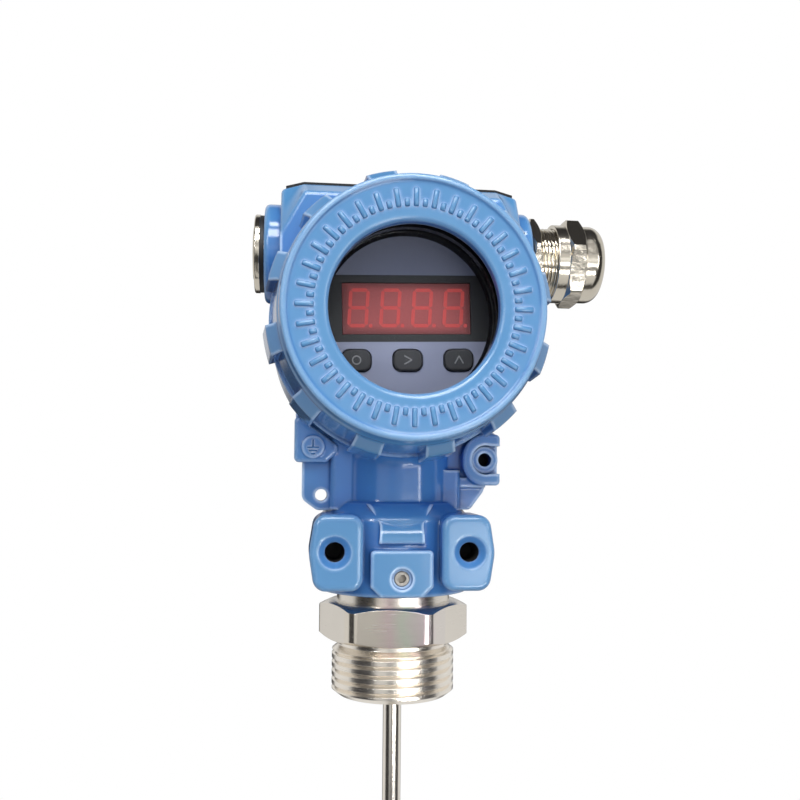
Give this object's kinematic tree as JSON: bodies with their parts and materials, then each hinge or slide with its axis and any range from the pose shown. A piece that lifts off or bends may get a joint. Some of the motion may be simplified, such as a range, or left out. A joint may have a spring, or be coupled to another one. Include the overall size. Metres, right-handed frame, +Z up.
{
  "type": "level transmitter",
  "caption": "Rod-probe level transmitter: cast head with screwed covers, display window, cable gland and plug on a threaded hexagon fitting with a thin rod.",
  "frame": {"origin": "on the rod's axis, at the middle of the process fitting's pipe thread", "axes": "+Z up along the rod towards the head, -Y out of the display window, +X out of the cable gland"},
  "size_m": [0.0968, 0.085, 0.2726],
  "materials": {
    "blue_paint": "glossy powder paint on cast aluminium",
    "stainless": "turned and drawn stainless steel",
    "nickel": "nickel plate on brass",
    "brass": "plain",
    "black_rubber": "matt",
    "black_plate": "black anodised",
    "black_plastic": "fine grain",
    "grey_plastic": "printed film",
    "red_plastic": "smoked red lens",
    "green_plastic": "plain",
    "white_plastic": "plain",
    "window": "clear toughened glass"
  },
  "bodies": {
    "process_connection": {"process_fitting": "stainless", "fitting_o_ring": "black_rubber", "probe_rod": "stainless", "rod_insulator": "white_plastic", "rod_washer": "stainless", "rod_nut": "stainless"},
    "head": {"housing": "blue_paint", "nameplate": "black_plate", "nameplate_pins": "stainless", "lock_screw": "stainless", "electronics_module": "black_plastic", "module_screws": "stainless", "sensor_lead": "black_rubber", "terminal_block": "green_plastic", "terminal_screws": "stainless", "inner_ground_screw": "stainless", "display_standoffs": "brass", "display_board": "green_plastic", "button_switches": "black_plastic", "digit_block": "red_plastic", "display_panel": "grey_plastic", "display_bezel": "black_plastic", "gland_body": "nickel", "gland_o_ring": "black_rubber"},
    "front_seal": {"front_cover_seal": "black_rubber"},
    "front_lid": {"front_cover": "blue_paint", "window_gasket": "black_rubber", "window_glass": "window", "window_retainer": "black_plate"},
    "rear_seal": {"rear_cover_seal": "black_rubber"},
    "rear_lid": {"rear_cover": "blue_paint"},
    "gland_insert": {"gland_claw": "white_plastic", "gland_seal": "black_rubber"},
    "gland_nut": {"gland_dome_nut": "nickel"},
    "plug_seal": {"plug_gasket": "black_rubber"},
    "plug": {"blanking_plug": "nickel"},
    "key_left": {"button_left": "black_plastic"},
    "key_middle": {"button_middle": "black_plastic"},
    "key_right": {"button_right": "black_plastic"}
  },
  "joints": [
    {"name": "head_swivel", "type": "hinge", "parent": "process_connection", "child": "head", "pos_m": [0, 0, 0.03], "axis": [0, 0, 1], "range_deg": [-180, 180]},
    {"name": "front_cover_travel", "type": "slide", "parent": "head", "child": "front_seal", "axis": [0, -1, 0], "range_m": [0, 0.01]},
    {"name": "front_cover_turn", "type": "hinge", "parent": "front_seal", "child": "front_lid", "pos_m": [0, -0.03, 0.0913], "axis": [0, -1, 0], "range_deg": [0, 1800]},
    {"name": "rear_cover_travel", "type": "slide", "parent": "head", "child": "rear_seal", "axis": [0, 1, 0], "range_m": [0, 0.01]},
    {"name": "rear_cover_turn", "type": "hinge", "parent": "rear_seal", "child": "rear_lid", "pos_m": [0, 0.03, 0.0913], "axis": [0, 1, 0], "range_deg": [0, 1800]},
    {"name": "gland_travel", "type": "slide", "parent": "head", "child": "gland_insert", "axis": [1, 0, 0], "range_m": [0, 0.0045]},
    {"name": "gland_nut_turn", "type": "hinge", "parent": "gland_insert", "child": "gland_nut", "pos_m": [0.05, 0, 0.1128], "axis": [1, 0, 0], "range_deg": [0, 1620]},
    {"name": "plug_travel", "type": "slide", "parent": "head", "child": "plug_seal", "axis": [-1, 0, 0], "range_m": [0, 0.0075]},
    {"name": "plug_turn", "type": "hinge", "parent": "plug_seal", "child": "plug", "pos_m": [-0.036, 0, 0.1128], "axis": [-1, 0, 0], "range_deg": [0, 1800]},
    {"name": "left_press", "type": "slide", "parent": "head", "child": "key_left", "axis": [0, 1, 0], "range_m": [0, 0.0006], "stiffness_N_per_m": 800},
    {"name": "middle_press", "type": "slide", "parent": "head", "child": "key_middle", "axis": [0, 1, 0], "range_m": [0, 0.0006], "stiffness_N_per_m": 800},
    {"name": "right_press", "type": "slide", "parent": "head", "child": "key_right", "axis": [0, 1, 0], "range_m": [0, 0.0006], "stiffness_N_per_m": 800}
  ],
  "couplings": [
    {"joint": "front_cover_turn", "follows": "front_cover_travel", "rad_per_m": 3141.6},
    {"joint": "rear_cover_turn", "follows": "rear_cover_travel", "rad_per_m": 3141.6},
    {"joint": "gland_nut_turn", "follows": "gland_travel", "rad_per_m": 6283.2},
    {"joint": "plug_turn", "follows": "plug_travel", "rad_per_m": 4188.8}
  ]
}
